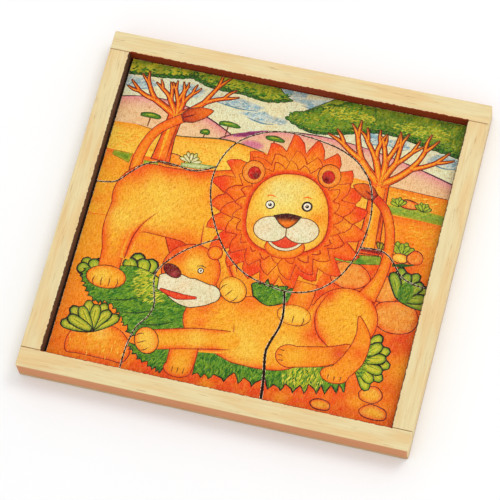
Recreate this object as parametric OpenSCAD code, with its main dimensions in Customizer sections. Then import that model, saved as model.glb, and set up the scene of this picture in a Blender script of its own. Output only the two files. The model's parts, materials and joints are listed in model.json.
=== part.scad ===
// Wooden tray puzzle: a shallow framed tray with five lift-out plywood tiles.
// Origin: centre of the tray's underside. +Z is up, +Y is the top edge of the picture.

/* [Tray] */
// Outside width of the tray
tray_w = 190; // [150:1:240]
// Outside depth of the tray, from the bottom rail to the top rail
tray_d = 180; // [140:1:230]
// Overall height of the tray
tray_h = 12; // [10:0.5:16]
// Width of each rail, seen from above
rail_w = 10; // [8:0.5:14]
// Thickness of the base board under the rails
base_t = 2.5; // [2:0.5:4]
// Radius of the tray's four upright corners
corner_r = 1.2; // [0.4:0.2:3]
// Radius of the sanded top edges of the rails
arris_r = 0.6; // [0.2:0.1:1]
// Small chamfer on the ends of the side rails, which shows as the joint line
joint_chamfer = 0.25; // [0.1:0.05:0.5]

/* [Tiles] */
// Thickness of the plywood tiles
tile_t = 3.5; // [2.5:0.5:5]
// Width of the saw cut between two tiles
saw_cut = 0.5; // [0.3:0.1:0.8]
// Width of the loose cut at the lying lion's belly, at its upper end
loose_cut_top = 0.8; // [0.3:0.1:1.5]
// Width of the same cut at the bottom edge of the picture
loose_cut_bottom = 1.3; // [0.3:0.1:2]
// Gap between the tiles and the left rail
gap_left = 1.2; // [0.2:0.1:1.5]
// Gap between the tiles and the right rail
gap_right = 0.3; // [0.2:0.1:1.5]
// Gap between the tiles and the top rail
gap_top = 0.3; // [0.2:0.1:1.5]
// Gap between the tiles and the bottom rail
gap_bottom = 0.5; // [0.2:0.1:1.5]

/* [Hidden] */

// The well inside the rails. The saw cuts below are laid out on a well of nominal size
// and stretch with the real one.
well_w = tray_w - 2 * rail_w;
well_d = tray_d - 2 * rail_w;
nominal_well = [170, 160];
stretch = [well_w / nominal_well[0], well_d / nominal_well[1]];

curve_steps = 5;  // straight pieces in each span of a smooth curve
arc_steps = 5;    // straight pieces in each rounded edge
past_edge = 6;    // how far cut lines and outlines run past the tiles' outer edge
over = 1;         // overlap of cutting shapes

// Saw cuts, in millimetres from the centre of the well.
// Each open cut starts or ends inside the head tile, which is cut out first.
head_points = [
    [2, 57.5], [-10, 55], [-21, 48], [-27, 38.5], [-29.2, 27], [-27.2, 15],
    [-21.5, 2], [-13.5, -9.5], [-3, -18], [9, -21.8], [22, -23.2], [34, -19.3],
    [42.8, -10.5], [48, 1.5], [50.2, 15], [49.8, 27], [46.3, 39], [39, 48.2],
    [28, 54], [15, 56.8]
];
back_points = [
    [-91, 10.8], [-84, 12.2], [-75, 14], [-69.3, 20], [-64, 25.3], [-57, 28.6],
    [-49, 28.8], [-41, 27.8], [-34, 29.4], [-24, 35]
];
chin_points = [
    [-14, -2.5], [-20, -5.2], [-31.5, -12.6], [-39, -20.3], [-42.8, -26.5],
    [-43, -32], [-41, -39], [-39.8, -44], [-41, -50], [-45, -56.2], [-47, -64.5],
    [-47.4, -73], [-47.2, -86]
];
belly_points = [
    [18.6, -19], [19.4, -24], [20.9, -31], [21.6, -37.5], [20.9, -43], [18.9, -49.5],
    [18, -54.5], [18.7, -60], [20.1, -67], [21.2, -75], [22.4, -86]
];
tail_points = [
    [44, 5.5], [50, 6.4], [57.5, 7], [62.5, 5.6], [66.5, 2], [71.5, -3.8],
    [77.5, -6.3], [84, -7.2], [91, -8]
];

// Catmull-Rom curve between b and c
function span(a, b, c, d, t) =
    0.5 * (2 * b + (c - a) * t + (2 * a - 5 * b + 4 * c - d) * t * t
        + (3 * b - a - 3 * c + d) * t * t * t);

function stretched(p) = [for (q = p) [q[0] * stretch[0], q[1] * stretch[1]]];

function smooth_line(p) = let (last = len(p) - 1) [
    for (i = [0 : last - 1]) for (k = [0 : curve_steps - 1])
        span(p[max(i - 1, 0)], p[i], p[i + 1], p[min(i + 2, last)], k / curve_steps),
    p[last]
];

function smooth_loop(p) = let (n = len(p)) [
    for (i = [0 : n - 1]) for (k = [0 : curve_steps - 1])
        span(p[(i + n - 1) % n], p[i], p[(i + 1) % n], p[(i + 2) % n], k / curve_steps)
];

function reversed(p) = [for (i = [len(p) - 1 : -1 : 0]) p[i]];

// Unit vector square to the curve at point i, to the left of its direction
function left_of(from, to) = let (d = to - from) [-d[1], d[0]] / norm(d);

// An open line moved sideways, by w0 at its start and w1 at its end
function line_beside(p, w0, w1) = let (last = len(p) - 1) [
    for (i = [0 : last])
        p[i] + left_of(p[max(i - 1, 0)], p[min(i + 1, last)]) * (w0 + (w1 - w0) * i / last)
];

// A closed loop moved sideways by w, outwards for a loop that runs anticlockwise
function loop_beside(p, w) = let (n = len(p)) [
    for (i = [0 : n - 1]) p[i] - left_of(p[(i + n - 1) % n], p[(i + 1) % n]) * w
];

head_cut = smooth_loop(stretched(head_points));
back_cut = smooth_line(stretched(back_points));
chin_cut = smooth_line(stretched(chin_points));
belly_cut = smooth_line(stretched(belly_points));
tail_cut = smooth_line(stretched(tail_points));

left_x = -well_w / 2 - past_edge;
right_x = well_w / 2 + past_edge;
top_y = well_d / 2 + past_edge;
bottom_y = -well_d / 2 - past_edge;

// Quarter circle of radius r about c, from angle a0 to a0 + 90
function quarter(c, r, a0) = [
    for (k = [0 : arc_steps]) c + r * [cos(a0 + 90 * k / arc_steps), sin(a0 + 90 * k / arc_steps)]
];

// Rectangle centred on the origin with rounded corners
module rounded_field(w, d, r) {
    polygon(concat(
        quarter([w / 2 - r, d / 2 - r], r, 0),
        quarter([-w / 2 + r, d / 2 - r], r, 90),
        quarter([-w / 2 + r, -d / 2 + r], r, 180),
        quarter([w / 2 - r, -d / 2 + r], r, 270)
    ));
}

// Section of a rail: flat below, with both top edges rounded
module rail_section(w) {
    polygon(concat(
        [[-w / 2, base_t], [w / 2, base_t]],
        quarter([w / 2 - arris_r, tray_h - arris_r], arris_r, 0),
        quarter([-w / 2 + arris_r, tray_h - arris_r], arris_r, 90)
    ));
}

// A bar along X or along Y with the rail section, its middle at the origin
module bar_along_x(length, w) {
    rotate([90, 0, 90]) translate([0, 0, -length / 2]) linear_extrude(length) rail_section(w);
}

module bar_along_y(length, w) {
    rotate([90, 0, 0]) translate([0, 0, -length / 2]) linear_extrude(length) rail_section(w);
}

// The top and bottom rails run the full width, so their ends are rounded like their sides
module long_rail(side) {
    intersection() {
        translate([0, side * (tray_d - rail_w) / 2, 0]) bar_along_x(tray_w + 2 * over, rail_w);
        bar_along_y(tray_d + 2 * over, tray_w);
        linear_extrude(tray_h + over) rounded_field(tray_w, tray_d, corner_r);
    }
}

// The side rails butt between the long ones
module side_rail(side) {
    translate([side * (tray_w - rail_w) / 2, 0, 0]) difference() {
        bar_along_y(well_d, rail_w);
        for (end = [-1, 1])
            translate([0, end * well_d / 2, tray_h]) rotate([45, 0, 0])
                cube([rail_w + over, joint_chamfer * sqrt(2), joint_chamfer * sqrt(2)], center = true);
    }
}

// Where the five tiles lie, pushed towards the top right of the well
module tile_field() {
    translate([-well_w / 2 + gap_left, -well_d / 2 + gap_bottom])
        square([well_w - gap_left - gap_right, well_d - gap_bottom - gap_top]);
}

// The slot that the saw leaves along an open line
module saw_slot(line, w0, w1) {
    polygon(concat(line_beside(line, w0 / 2, w1 / 2), reversed(line_beside(line, -w0 / 2, -w1 / 2))));
}

// One of the four tiles around the head tile: its outline less the saw cuts beside it
module outer_tile(outline) {
    translate([0, 0, base_t]) linear_extrude(tile_t) difference() {
        intersection() {
            tile_field();
            polygon(outline);
        }
        polygon(loop_beside(head_cut, saw_cut / 2));
        saw_slot(back_cut, saw_cut, saw_cut);
        saw_slot(chin_cut, saw_cut, saw_cut);
        saw_slot(belly_cut, loose_cut_top, loose_cut_bottom);
        saw_slot(tail_cut, saw_cut, saw_cut);
    }
}

module base_board() {
    color("tan") linear_extrude(base_t) rounded_field(tray_w, tray_d, corner_r);
}

module top_rail() {
    color("wheat") long_rail(1);
}

module bottom_rail() {
    color("wheat") long_rail(-1);
}

module left_rail() {
    color("wheat") side_rail(-1);
}

module right_rail() {
    color("wheat") side_rail(1);
}

module sky_tile() {
    color("lightyellow")
        outer_tile(concat([[left_x, top_y], [right_x, top_y]], reversed(tail_cut), reversed(back_cut)));
}

module head_tile() {
    color("orangered") translate([0, 0, base_t]) linear_extrude(tile_t)
        polygon(loop_beside(head_cut, -saw_cut / 2));
}

module standing_lion_tile() {
    color("orange") outer_tile(concat(back_cut, chin_cut, [[left_x, bottom_y]]));
}

module lying_lion_tile() {
    color("olivedrab") outer_tile(concat(reversed(chin_cut), belly_cut));
}

module rocks_tile() {
    color("coral") outer_tile(concat(reversed(belly_cut), tail_cut, [[right_x, bottom_y]]));
}

base_board();
top_rail();
bottom_rail();
left_rail();
right_rail();
sky_tile();
head_tile();
standing_lion_tile();
lying_lion_tile();
rocks_tile();
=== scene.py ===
import json
import math

import bpy
import numpy as np
from mathutils import Matrix, Vector
from mathutils.geometry import delaunay_2d_cdt

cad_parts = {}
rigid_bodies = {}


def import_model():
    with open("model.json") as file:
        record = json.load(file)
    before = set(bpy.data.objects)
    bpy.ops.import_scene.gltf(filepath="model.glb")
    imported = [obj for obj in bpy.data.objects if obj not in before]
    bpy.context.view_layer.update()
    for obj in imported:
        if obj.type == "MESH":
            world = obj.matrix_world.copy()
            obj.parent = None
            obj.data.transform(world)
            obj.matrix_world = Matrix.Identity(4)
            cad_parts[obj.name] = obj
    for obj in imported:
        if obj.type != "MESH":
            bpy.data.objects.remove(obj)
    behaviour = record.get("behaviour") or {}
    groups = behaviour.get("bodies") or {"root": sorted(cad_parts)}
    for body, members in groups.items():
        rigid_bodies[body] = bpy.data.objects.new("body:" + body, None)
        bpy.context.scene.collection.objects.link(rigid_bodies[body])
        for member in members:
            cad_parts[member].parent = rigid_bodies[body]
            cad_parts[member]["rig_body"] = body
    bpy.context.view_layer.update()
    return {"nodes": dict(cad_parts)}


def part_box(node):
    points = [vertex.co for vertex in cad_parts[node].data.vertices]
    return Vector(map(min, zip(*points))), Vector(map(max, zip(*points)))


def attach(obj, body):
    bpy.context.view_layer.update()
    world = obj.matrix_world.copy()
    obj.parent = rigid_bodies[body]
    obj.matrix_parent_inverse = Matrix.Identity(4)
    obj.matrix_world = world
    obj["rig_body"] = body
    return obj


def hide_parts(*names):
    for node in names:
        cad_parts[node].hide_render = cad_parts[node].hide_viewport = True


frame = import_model()

MM = 0.001
random = np.random.default_rng(11)

# ---- colours


def rgb(red, green, blue):
    """Linear colour from screen values of 0 to 255."""
    c = np.array([red, green, blue], float) / 255
    return np.where(c <= 0.04045, c / 12.92, ((c + 0.055) / 1.055) ** 2.4)


SKY = rgb(232, 230, 186)
CLOUD = rgb(132, 174, 188)
CREAM = rgb(240, 230, 192)
PINK = rgb(232, 140, 150)
PALE_PINK = rgb(240, 200, 150)
PLUM = rgb(84, 34, 58)
YELLOW = rgb(250, 204, 68)
PALE_YELLOW = rgb(246, 226, 116)
STRAW = rgb(252, 214, 84)
GOLD = rgb(250, 180, 38)
APRICOT = rgb(250, 160, 24)
AMBER = rgb(250, 152, 18)
ORANGE = rgb(250, 124, 10)
RUST = rgb(244, 84, 8)
RED = rgb(224, 40, 12)
MAROON = rgb(116, 14, 20)
BROWN = rgb(110, 42, 18)
UMBER = rgb(176, 52, 12)
INK = rgb(30, 18, 20)
LINE = rgb(150, 30, 10)
MANE_LINE = rgb(176, 40, 10)
PEACH = rgb(244, 150, 48)
LEAF = rgb(92, 144, 28)
DARK_LEAF = rgb(26, 88, 24)
MID_LEAF = rgb(52, 108, 24)
GRASS_EDGE = rgb(26, 104, 28)
CROWN_LINE = rgb(26, 52, 20)
MOSS = rgb(140, 170, 40)
LIGHT_LEAF = rgb(186, 196, 48)
OLIVE = rgb(178, 172, 24)

# ---- lines and outlines

CURVE_STEP = 1.3  # longest straight piece in a smooth curve


def run(points):
    """Smooth open curve through the points."""
    p = np.array(points, float)
    last = len(p) - 1
    out = []
    for i in range(last):
        a, b, c, d = p[max(i - 1, 0)], p[i], p[i + 1], p[min(i + 2, last)]
        count = max(1, math.ceil(np.linalg.norm(c - b) / CURVE_STEP))
        for t in np.arange(count) / count:
            bend = 2 * a - 5 * b + 4 * c - d
            twist = 3 * b - a - 3 * c + d
            out.append(0.5 * (2 * b + (c - a) * t + bend * t * t + twist * t**3))
    out.append(p[last])
    return np.array(out)


def loop(points):
    """Smooth closed curve through the points."""
    p = list(points)
    wrapped = run(p[-2:] + p + p[:2])
    start = np.argmin(np.linalg.norm(wrapped - np.array(p[0]), axis=1))
    end = len(wrapped) - 1 - np.argmin(np.linalg.norm(wrapped[::-1] - np.array(p[0]), axis=1))
    return wrapped[start:end]


def shape(*runs):
    """Closed outline of smooth runs that meet at corners. Each run goes on from the last one's end,
    and a straight line closes the outline."""
    out = list(run(runs[0]))
    for points in runs[1:]:
        out.extend(run([out[-1], *points])[1:])
    return np.array(out)


def bristles(points, reach, spacing, lean=0.15):
    """A smooth line whose left side is edged with uneven, slightly curved blades of grass."""
    line = run(points)
    side = left_of(line)
    places = np.r_[0, np.cumsum(np.linalg.norm(np.diff(line, axis=0), axis=1))]

    def at(place, out):
        foot = [np.interp(place, places, line[:, k]) for k in (0, 1)]
        way = [np.interp(place, places, side[:, k]) for k in (0, 1)]
        return np.array(foot) + np.array(way) * out

    out = [line[0]]
    place = 0.0
    while place < places[-1]:
        width = spacing * random.uniform(0.6, 1.5)
        tall = reach * random.uniform(0.45, 1.25)
        tip = place + width * (0.5 + lean + random.uniform(-0.2, 0.2))
        out += [at(place + width * 0.12, tall * 0.45), at(tip - width * 0.16, tall * 0.86), at(tip, tall),
                at(tip + width * 0.12, tall * 0.8), at(place + width * 0.84, tall * 0.4),
                at(min(place + width, places[-1]), 0)]
        place += width
    return np.array(out)


def box(left, bottom, right, top):
    return np.array([(left, bottom), (right, bottom), (right, top), (left, top)], float)


def ring(centre, radius, tall=1.0, count=14):
    """A circle, or an upright ellipse where tall isn't 1."""
    turn = np.arange(count) * 2 * math.pi / count
    return centre + radius * np.stack([np.cos(turn), tall * np.sin(turn)], 1)


def unit(vectors):
    return vectors / np.maximum(np.linalg.norm(vectors, axis=1), 1e-9)[:, None]


def left_of(line):
    """Unit vectors square to an open line at its points, to the left of its direction."""
    along = unit(np.gradient(line, axis=0))
    return np.stack([-along[:, 1], along[:, 0]], 1)


def band(points, *widths):
    """Outline of a band along a smooth line, with these widths from its start to its end."""
    line = run(points)
    share = np.linspace(0, 1, len(line))
    half = np.interp(share, np.linspace(0, 1, len(widths)), widths) / 2
    side = left_of(line) * half[:, None]
    return np.concatenate([line + side, (line - side)[::-1]])


def signed_area(outline):
    x, y = outline.T
    return (x * np.roll(y, -1) - y * np.roll(x, -1)).sum() / 2


def grown(outline, gap):
    """A closed outline moved outwards by gap, with mitred corners that reach twice as far at most."""
    ahead = unit(np.roll(outline, -1, 0) - outline)
    behind = np.roll(ahead, 1, 0)
    corner = ahead + behind
    outwards = np.stack([corner[:, 1], -corner[:, 0]], 1)
    sharpness = np.maximum(1 + (ahead * behind).sum(1), 0.5)
    way = 1 if signed_area(outline) > 0 else -1
    return outline + outwards * (way * gap / sharpness)[:, None]


def turns_round(points, outline):
    """How often the outline turns round each point: 0 outside it."""
    a = outline
    b = np.roll(outline, -1, 0)
    x, y = points[:, :1], points[:, 1:]
    side = (b[:, 0] - a[:, 0]) * (y - a[:, 1]) - (x - a[:, 0]) * (b[:, 1] - a[:, 1])
    up = (a[:, 1] <= y) & (b[:, 1] > y) & (side > 0)
    down = (b[:, 1] <= y) & (a[:, 1] > y) & (side < 0)
    return up.sum(1) - down.sum(1)


def depth_in(points, outline):
    """Distance from each point to the nearest place on the outline."""
    span = np.roll(outline, -1, 0) - outline
    length = np.maximum((span * span).sum(1), 1e-12)
    away = points[:, None] - outline
    share = np.clip((away * span).sum(2) / length, 0, 1)
    return np.linalg.norm(away - share[..., None] * span, axis=2).min(1)


# ---- fills
# A fill gives a colour for each point of an area, from the point and its depth inside the outline.


def flat(colour):
    return lambda points, depth: np.tile(colour, (len(points), 1))


def rim(edge, middle, width):
    """Turns from edge at the outline to middle at width inside it."""

    def fill(points, depth):
        share = np.clip(depth / width, 0, 1)[:, None]
        return edge + (middle - edge) * share * (2 - share)

    return fill


def ramp(first, second, start, end):
    """Turns from one fill to another between two points."""
    way = np.subtract(end, start)

    def fill(points, depth):
        share = np.clip((points - start) @ way / (way @ way), 0, 1)[:, None]
        return first(points, depth) * (1 - share) + second(points, depth) * share

    return fill


def glow(under, colour, centre, radius, strength=1.0):
    """Another fill with a soft round spot of colour on it."""

    def fill(points, depth):
        away = np.linalg.norm(points - centre, axis=1) / radius
        share = strength * np.clip(1 - away, 0, 1)[:, None]
        share = share * share * (3 - 2 * share)
        return under(points, depth) * (1 - share) + colour * share

    return fill


def lit(under, strength, *spots):
    """Another fill with several soft round spots on it: each is a colour, a place and a radius."""
    for colour, place, radius in spots:
        under = glow(under, colour, place, radius, strength)
    return under


PATCH_ROW = 64
PATCHES = random.random((PATCH_ROW, PATCH_ROW))
PATCH_START = 40  # cells from the grid's corner to the middle of the tray


def mottle(points, size):
    """Soft random patches about size across, from 0 to 1."""
    where = np.asarray(points) / size + PATCH_START
    cell = np.floor(where).astype(int)
    share = where - cell
    share = share * share * (3 - 2 * share)
    i, j = cell.T % PATCH_ROW
    low, high = (PATCHES[i, row] * (1 - share[:, 0]) + PATCHES[(i + 1) % PATCH_ROW, row] * share[:, 0]
                 for row in (j, (j + 1) % PATCH_ROW))
    return low * (1 - share[:, 1]) + high * share[:, 1]


def mottled(under, colour, size, strength):
    """Another fill with soft patches of colour on it."""

    def fill(points, depth):
        share = (strength * np.clip(2 * mottle(points, size) - 0.6, 0, 1))[:, None]
        return under(points, depth) * (1 - share) + colour * share

    return fill


def fur(middle=YELLOW, width=8.0, edge=RUST, between=AMBER):
    """A coat: a dark edge that turns quickly to the second colour, and slowly to the middle one."""

    def fill(points, depth):
        fast = np.clip(depth / (0.5 * width), 0, 1)[:, None]
        slow = np.clip((depth - 0.2 * width) / width, 0, 1)[:, None]
        slow = slow * (2 - slow)
        colour = edge + (between - edge) * fast * (1.6 - 0.6 * fast)
        return colour * (1 - slow) + middle * slow

    return mottled(fill, between, 3.2, 0.35)


DEEP = 50  # a depth past all shading of edges


def soft(under, colour, width):
    """A brushed stroke on another fill: its colour is full at width inside the outline."""

    def fill(points, depth):
        share = np.clip(depth / width, 0, 1)[:, None]
        share = share * share * (3 - 2 * share)
        return under(points, depth + DEEP) * (1 - share) + colour * share

    return fill


painted = []  # the picture's areas, each an outline and a fill, from back to front


def paint(outline, fill, line=None, width=0.35):
    """Paints an area, with a pencil line of another colour around it if one is given."""
    if line is not None:
        pressure = 0.55 + 0.9 * mottle(outline, 6)
        painted.append((grown(outline, width * pressure), flat(line)))
    painted.append((outline, fill))


def draw(points, colour, *widths):
    painted.append((band(points, *widths), flat(colour)))


def dabs(outline, colours, count, size, angle, spread=0.5, within=None, margin=None, centre=None):
    """Short brush marks, strewn inside an outline. Size is a mark's length and width. They stay
    inside a second outline and this far from the edge if those are given, and fan out from a
    centre if there is one."""
    low, high = outline.min(0), outline.max(0)
    middles = low + (high - low) * random.random((count * 3, 2))
    middles = middles[turns_round(middles, outline) != 0]
    edge = outline if within is None else within
    middles = middles[turns_round(middles, edge) != 0]
    middles = middles[depth_in(middles, edge) > (size[1] if margin is None else margin)][:count]
    for i, middle in enumerate(middles):
        turn = angle + spread * random.uniform(-1, 1)
        if centre is not None:
            turn += math.atan2(*(middle - centre)[::-1])
        half = size[0] / 2 * random.uniform(0.6, 1.2)
        way = np.array([math.cos(turn), math.sin(turn)])
        bow = np.array([-way[1], way[0]]) * size[1] * random.uniform(-0.6, 0.6)
        draw([middle - way * half, middle + bow, middle + way * half], colours[i % len(colours)],
             0.1, size[1], 0.1)


def strokes(outline, fill, count, size, angle, shift=0.16, **options):
    """Brush marks in a fill's own colour, some a little lighter and some a little darker."""
    first = len(painted)
    dabs(outline, (None,), count, size, angle, **options)
    for i in range(first, len(painted)):
        mark = painted[i][0]
        own = fill(mark.mean(0)[None], depth_in(mark.mean(0)[None], outline))[0]
        tone = 1 + shift * random.uniform(-1, 1)
        painted[i] = (mark, flat(np.minimum(own * [tone, tone**2.4, tone**3], 1)))


# ---- the printed picture
# A plain storybook savanna: every figure is put together from bands, rings and repeated strokes.


def turned(points, centre, degrees):
    """Points given from a centre, turned anticlockwise about it."""
    turn = math.radians(degrees)
    x, y = np.array(points, float).T
    return centre + np.stack([x * math.cos(turn) - y * math.sin(turn),
                              x * math.sin(turn) + y * math.cos(turn)], 1)


def merged(outlines, fill):
    """One fill for several overlapping outlines, with no edge where they overlap."""

    def fill_all(points, depth):
        deepest = np.array(depth)
        for outline in outlines:
            inside = turns_round(points, outline) != 0
            deepest = np.maximum(deepest, np.where(inside, depth_in(points, outline), 0))
        return fill(points, deepest)

    return fill_all


def figure(outlines, coat, line=LINE, width=0.42, marks=0, angle=1.2):
    """Overlapping outlines drawn as one shape, with brush marks of its own colours on it."""
    whole = merged(outlines, coat)
    for outline in outlines:
        painted.append((grown(outline, width), flat(line)))
    for outline in outlines:
        paint(outline, whole)
    for outline in outlines:
        strokes(outline, coat, marks // len(outlines), (2.8, 0.6), angle, 0.13, margin=2)


def uneven(centre, width, tall, count=11, rough=0.08, floor=-1.0):
    """A rounded lump with an uneven outline, flat below this share of its half height."""
    turn = np.arange(count) * 2 * math.pi / count
    reach = 1 + rough * random.uniform(-1, 1, count)
    points = np.stack([0.5 * width * reach * np.cos(turn),
                       0.5 * tall * np.maximum(reach * np.sin(turn), floor)], 1)
    return loop(centre + points)


def cloud(x, y, length, tall):
    puff = mottled(rim(rgb(214, 216, 190), CLOUD, 2.4), rgb(206, 220, 210), 2.6, 0.9)
    outline = uneven((x, y), length, tall, 12, 0.3)
    paint(outline, puff)
    dabs(outline, (rgb(120, 170, 190), rgb(222, 228, 212), CLOUD), 26, (2.4, 0.6), 0.3, 0.8)
    edge = [(x - 0.4 * length, y - 0.25 * tall), (x, y - 0.5 * tall), (x + 0.3 * length, y - 0.4 * tall)]
    draw(edge, rgb(92, 136, 158), 0.2, 0.8, 0.2)


def sky():
    air = mottled(flat(SKY), rgb(214, 224, 196), 9, 0.6)
    paint(box(-90, 20, 90, 90), air)
    strokes(box(-88, 46, 88, 82), air, 320, (3, 0.6), 0.2, 0.1)
    for x, y, length, tall in (
        (-79, 68, 20, 7), (-54, 68.5, 20, 6), (-26, 67.4, 32, 5.6), (-13, 62.4, 20, 6), (-3, 78.6, 20, 7),
        (17, 74.6, 34, 7), (42, 63, 13, 6), (55, 63, 12, 6), (78, 58.6, 20, 7),
    ):
        cloud(x, y, length, tall)


def hill(left, right, foot, top, skew):
    share = np.linspace(0, 1, 13)
    height = foot + (top - foot) * np.sin(math.pi * share**skew)
    ridge = np.stack([left + (right - left) * share, height], 1)
    paint(shape(ridge, [(right, 20)], [(left, 20)]), rim(PINK, PALE_PINK, 9))
    draw(ridge, PLUM, 0.5, 0.8, 0.4, 0.8, 0.5)


def hills():
    hill(-128, -12, 42, 61.6, 1.15)
    hill(-44, 124, 36, 58.8, 0.7)
    shade = band([(-25, 50), (-17, 52.6), (-9, 56)], 1, 3, 0.6)
    paint(shade, rim(rgb(176, 84, 140), rgb(132, 40, 96), 1))
    paint(ring((-14.6, 47.4), 6.4, 0.5), rim(PALE_PINK, rgb(214, 120, 150), 2.6))


def fields():
    far = [(-90, 44.6), (-72, 45.6), (-52, 44), (-28, 47), (-8, 44.6), (45, 40.6), (90, 39.4)]
    far_field = ramp(rim(AMBER, YELLOW, 6), rim(ORANGE, rgb(244, 156, 28), 5), (40, 0), (64, 0))
    paint(shape(far, [(90, 20)], [(-90, 20)]), mottled(far_field, AMBER, 3, 0.3))
    draw(far[1:5], rgb(70, 70, 30), 0.2, 0.5, 0.8, 0.4)
    draw(far[5:], BROWN, 0.3, 0.3, 0.4)
    for field in (box(-86, 31.5, 20, 42.6), box(20, 31.5, 86, 38.6)):
        dabs(field, (STRAW, AMBER, GOLD), 130, (3, 0.55), 0.15, 0.3)
    near = glow(glow(rim(RUST, APRICOT, 7), GOLD, (-84, 4), 30), RUST, (88, -14), 34, 0.8)
    near = glow(near, AMBER, (72, 14), 18)
    paint(shape([(-90, 30.4), (-50, 30), (0, 30), (56, 26), (90, 26.8)], [(90, -90)], [(-90, -90)]),
          mottled(near, ORANGE, 2.6, 0.5))
    left = ramp(flat(rgb(250, 166, 30)), flat(ORANGE), (0, -20), (0, -60))
    left = glow(left, RUST, (-58, -84), 22)
    paint(shape([(-90, -5.6), (-72, -4)], [(-44, -40)], [(-40, -90)], [(-90, -90)]),
          mottled(left, AMBER, 3, 0.5), RUST, 0.3)
    strokes(box(-86, -80, -60, -6), left, 170, (2.8, 0.6), 1.4, 0.16)
    dabs(box(60, 4, 86, 25), (GOLD, ORANGE, APRICOT), 110, (3, 0.6), 0.2)
    right = glow(glow(flat(RUST), ORANGE, (78, -60), 40, 0.9), RED, (78, -37), 10, 0.6)
    right = lit(right, 0.9, (AMBER, (82, -50), 12), (AMBER, (66, -70), 9), (AMBER, (84, 0), 12),
                (AMBER, (30, -76), 7), (AMBER, (-6, -78), 7))
    low = shape([(38, 3), (60, 4.5), (90, 5)], [(90, -90)], [(-48, -90)], [(-40, -68)], [(20, -68)])
    paint(low, mottled(mottled(right, AMBER, 2.2, 0.4), RED, 5, 0.3))
    strokes(low, right, 260, (2.8, 0.6), 1.4, 0.16)


def far_tree(x, top, width, trunk):
    """A little umbrella tree far off, with its crown's top at top and its trunk's length below it."""
    draw([(x, top - 2), (x - 0.3, top - 3 - trunk)], BROWN, 0.8, 0.5)
    leaves = uneven((x, top - 1.8), width, 3.4, 9, 0.12, -0.5)
    paint(leaves, rim(DARK_LEAF, LEAF, 1), rgb(50, 60, 25), 0.25)
    draw([(x - 0.25 * width, top - 1.3), (x + 0.2 * width, top - 1)], LIGHT_LEAF, 0.2, 0.6, 0.2)


def stone(x, y, width, tall, middle=PEACH, edge=RUST):
    fill = mottled(rim(edge, middle, min(4, 0.3 * width)), rgb(252, 196, 96), 1.8, 0.3)
    outline = uneven((x, y), width, tall, 10, 0.09, -0.86)
    paint(outline, fill, rgb(104, 18, 20), 0.5)
    strokes(outline, fill, int(0.25 * width * tall), (2.2, 0.5), 1.3, 0.14, margin=1)


def spiky_plant(root, reach, blades, start=20, end=160, fat=1.6, colours=(LEAF, LIGHT_LEAF)):
    """A plant of rounded blades that fan out from its root between two angles in degrees."""
    angles = np.radians(np.linspace(start, end, blades))
    for i in sorted(range(blades), key=lambda i: i % 2):
        way = np.array([math.cos(angles[i]), math.sin(angles[i])])
        tall = reach * (0.86 if i % 2 else 1)
        foot = np.array(root, float)
        bend = np.array([-way[1], way[0]]) * tall * random.uniform(-0.05, 0.05)
        blade = band([foot, foot + way * tall * 0.6 + bend, foot + way * tall],
                     *(fat * share for share in (0.4, 0.66, 0.86, 0.98, 1.0, 0.92, 0.36)))
        paint(blade, rim(colours[0], colours[1], fat * 0.45), INK, max(0.26, 0.14 * fat))
        if fat > 2:
            draw([foot + way * tall * 0.3, foot + way * tall * 0.86], colours[0], 0.1, 0.45, 0.1)


def roadside():
    """Grass, small stones and plants along the back of the fields."""
    strip = band([(54, 28.6), (70, 28.8), (90, 28)], 4, 5.4, 5)
    paint(strip, rim(OLIVE, rgb(140, 170, 50), 2))
    dabs(strip, (LIGHT_LEAF, LEAF, OLIVE), 60, (1.8, 0.5), 0.3)
    paint(band([(-80, 28.8), (-71, 27.6)], 2, 5), rim(OLIVE, LEAF, 2.4), DARK_LEAF, 0.2)
    paint(band([(-64, 26.4), (-57, 27)], 3, 2.4), rim(LEAF, LIGHT_LEAF, 1.2))
    stone(-51, 31.2, 12.6, 6.4, AMBER, ORANGE)
    spiky_plant((-42, 31.6), 5.6, 7, 15, 165, 1.5, (LIGHT_LEAF, CREAM))
    paint(band([(-46, 29.6), (-38, 30.4), (-29, 32)], 2, 3, 0.6), rim(LEAF, rgb(206, 214, 150), 1))
    stone(66.6, 33, 9, 4.2)
    spiky_plant((61.6, 31.2), 4.6, 6, 40, 160)
    spiky_plant((73.6, 31.2), 4.4, 7, 20, 150)


def crown(under, over, middle, count, clumps):
    """A tree's crown: a mass of leaves over a clumped lower edge, with patches of light."""
    outline = shape(under, over[:-1], over[-1:])
    leaves = mottled(mottled(rim(DARK_LEAF, middle, 3), LIGHT_LEAF, 5, 0.6), MID_LEAF, 2.4, 0.6)
    paint(outline, leaves, CROWN_LINE, 0.4)
    dabs(outline, (OLIVE, LEAF, MID_LEAF, rgb(150, 164, 34)), count, (2.0, 0.55), 0.4, 1.0)
    line = run(under)
    for share in np.linspace(0.02, 0.98, clumps):
        place = line[int(share * (len(line) - 1))] + [0, 0.5]
        clump = ring(place, random.uniform(1.0, 1.9), 0.62, 9)
        paint(clump, rim(rgb(20, 70, 20), rgb(52, 116, 26), 0.9), rgb(20, 46, 18), 0.18)
    low = line + [0, 2.8]
    dabs(np.concatenate([line + [0, 0.8], (low + [0, 2])[::-1]]),
         (rgb(30, 104, 20), DARK_LEAF, rgb(70, 136, 26)), 4 * clumps, (2.2, 0.7), 0.4)


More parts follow.
